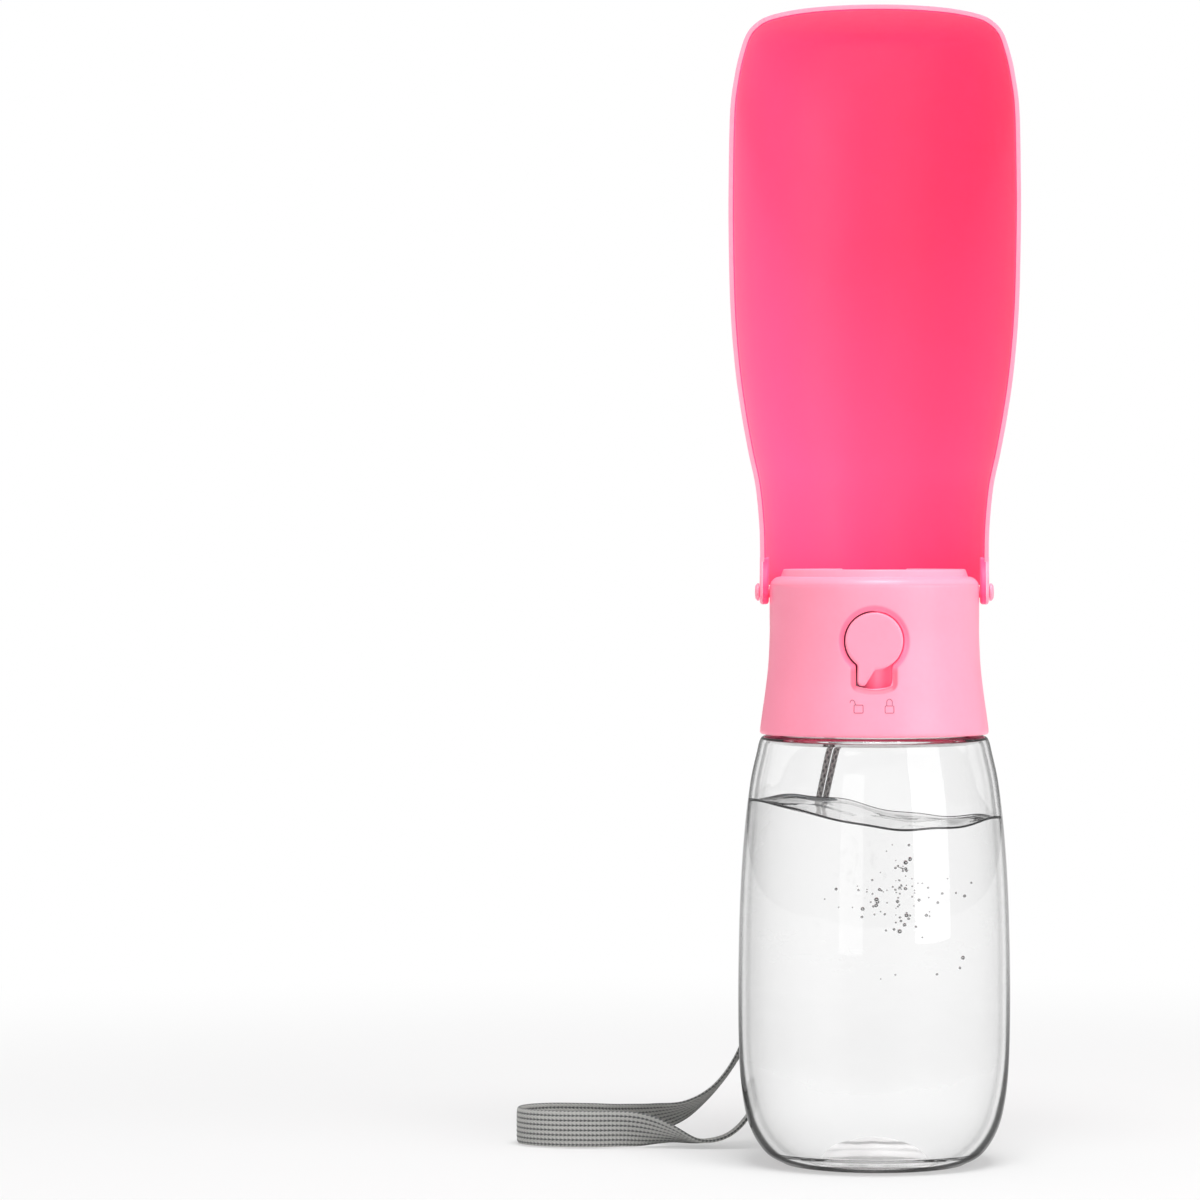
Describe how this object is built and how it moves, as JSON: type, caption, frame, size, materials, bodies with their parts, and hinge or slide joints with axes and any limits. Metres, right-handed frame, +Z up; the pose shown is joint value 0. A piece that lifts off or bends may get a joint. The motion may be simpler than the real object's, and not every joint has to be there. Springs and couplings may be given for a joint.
{
  "type": "dog travel water bottle",
  "caption": "Clear drinking bottle with a screw-on valve head, a lockable push button, a wrist strap and a half-shell trough that folds over the bottle.",
  "frame": {"origin": "on the bottle's axis, on the surface that its base stands on", "axes": "+Z up along the bottle's axis, -Y towards the side with the button, +X along the trough's hinge"},
  "size_m": [0.1386, 0.0822, 0.312],
  "materials": {
    "clear_bottle": "clear moulded plastic, glossy",
    "light_pink": "moulded plastic, soft satin",
    "deep_pink": "moulded plastic, satin gloss",
    "valve_plastic": "natural acetal",
    "silicone": "translucent white silicone",
    "spring_steel": "drawn wire",
    "cord_grey": "braided cord",
    "webbing_grey": "knitted, striped along its length",
    "block_slate": "moulded, fine texture"
  },
  "bodies": {
    "bottle": {"bottle": "clear_bottle"},
    "washer": {"neck_gasket": "silicone"},
    "head": {"head_shell": "light_pink", "top_cover": "light_pink", "plug_cup": "deep_pink", "plug_ring": "silicone", "valve_housing": "valve_plastic", "valve_seat": "silicone", "outlet_spout": "light_pink", "vent_valve": "silicone", "sleeve_ring": "valve_plastic", "hinge_pin_left": "light_pink", "hinge_pin_right": "light_pink", "strap_cord": "cord_grey", "strap_block": "block_slate", "strap_webbing": "webbing_grey", "button_spring": "spring_steel"},
    "lock": {"lock_sleeve": "valve_plastic"},
    "button": {"button_cap": "light_pink", "button_stem": "valve_plastic", "stem_seal": "silicone", "valve_plug": "silicone"},
    "trough": {"trough": "light_pink", "trough_liner": "deep_pink"}
  },
  "joints": [
    {"name": "head_lift", "type": "slide", "parent": "bottle", "child": "washer", "axis": [0, 0, 1], "range_m": [0, 0.00066667]},
    {"name": "head_turn", "type": "hinge", "parent": "washer", "child": "head", "pos_m": [0, 0, 0.125], "axis": [0, 0, 1], "range_deg": [0, 60]},
    {"name": "lock_turn", "type": "hinge", "parent": "head", "child": "lock", "pos_m": [0, 0, 0.1411], "axis": [0, -1, 0], "range_deg": [0, 34]},
    {"name": "button_press", "type": "slide", "parent": "lock", "child": "button", "axis": [0, 1, 0], "range_m": [0, 0.0025], "stiffness_N_per_m": 800, "springref_m": -0.002, "deforming": ["button_spring"]},
    {"name": "trough_fold", "type": "hinge", "parent": "head", "child": "trough", "pos_m": [0, 0, 0.1538], "axis": [1, 0, 0], "range_deg": [0, 180]}
  ],
  "couplings": [
    {"joint": "head_lift", "follows": "head_turn", "m_per_rad": 0.00063662}
  ]
}
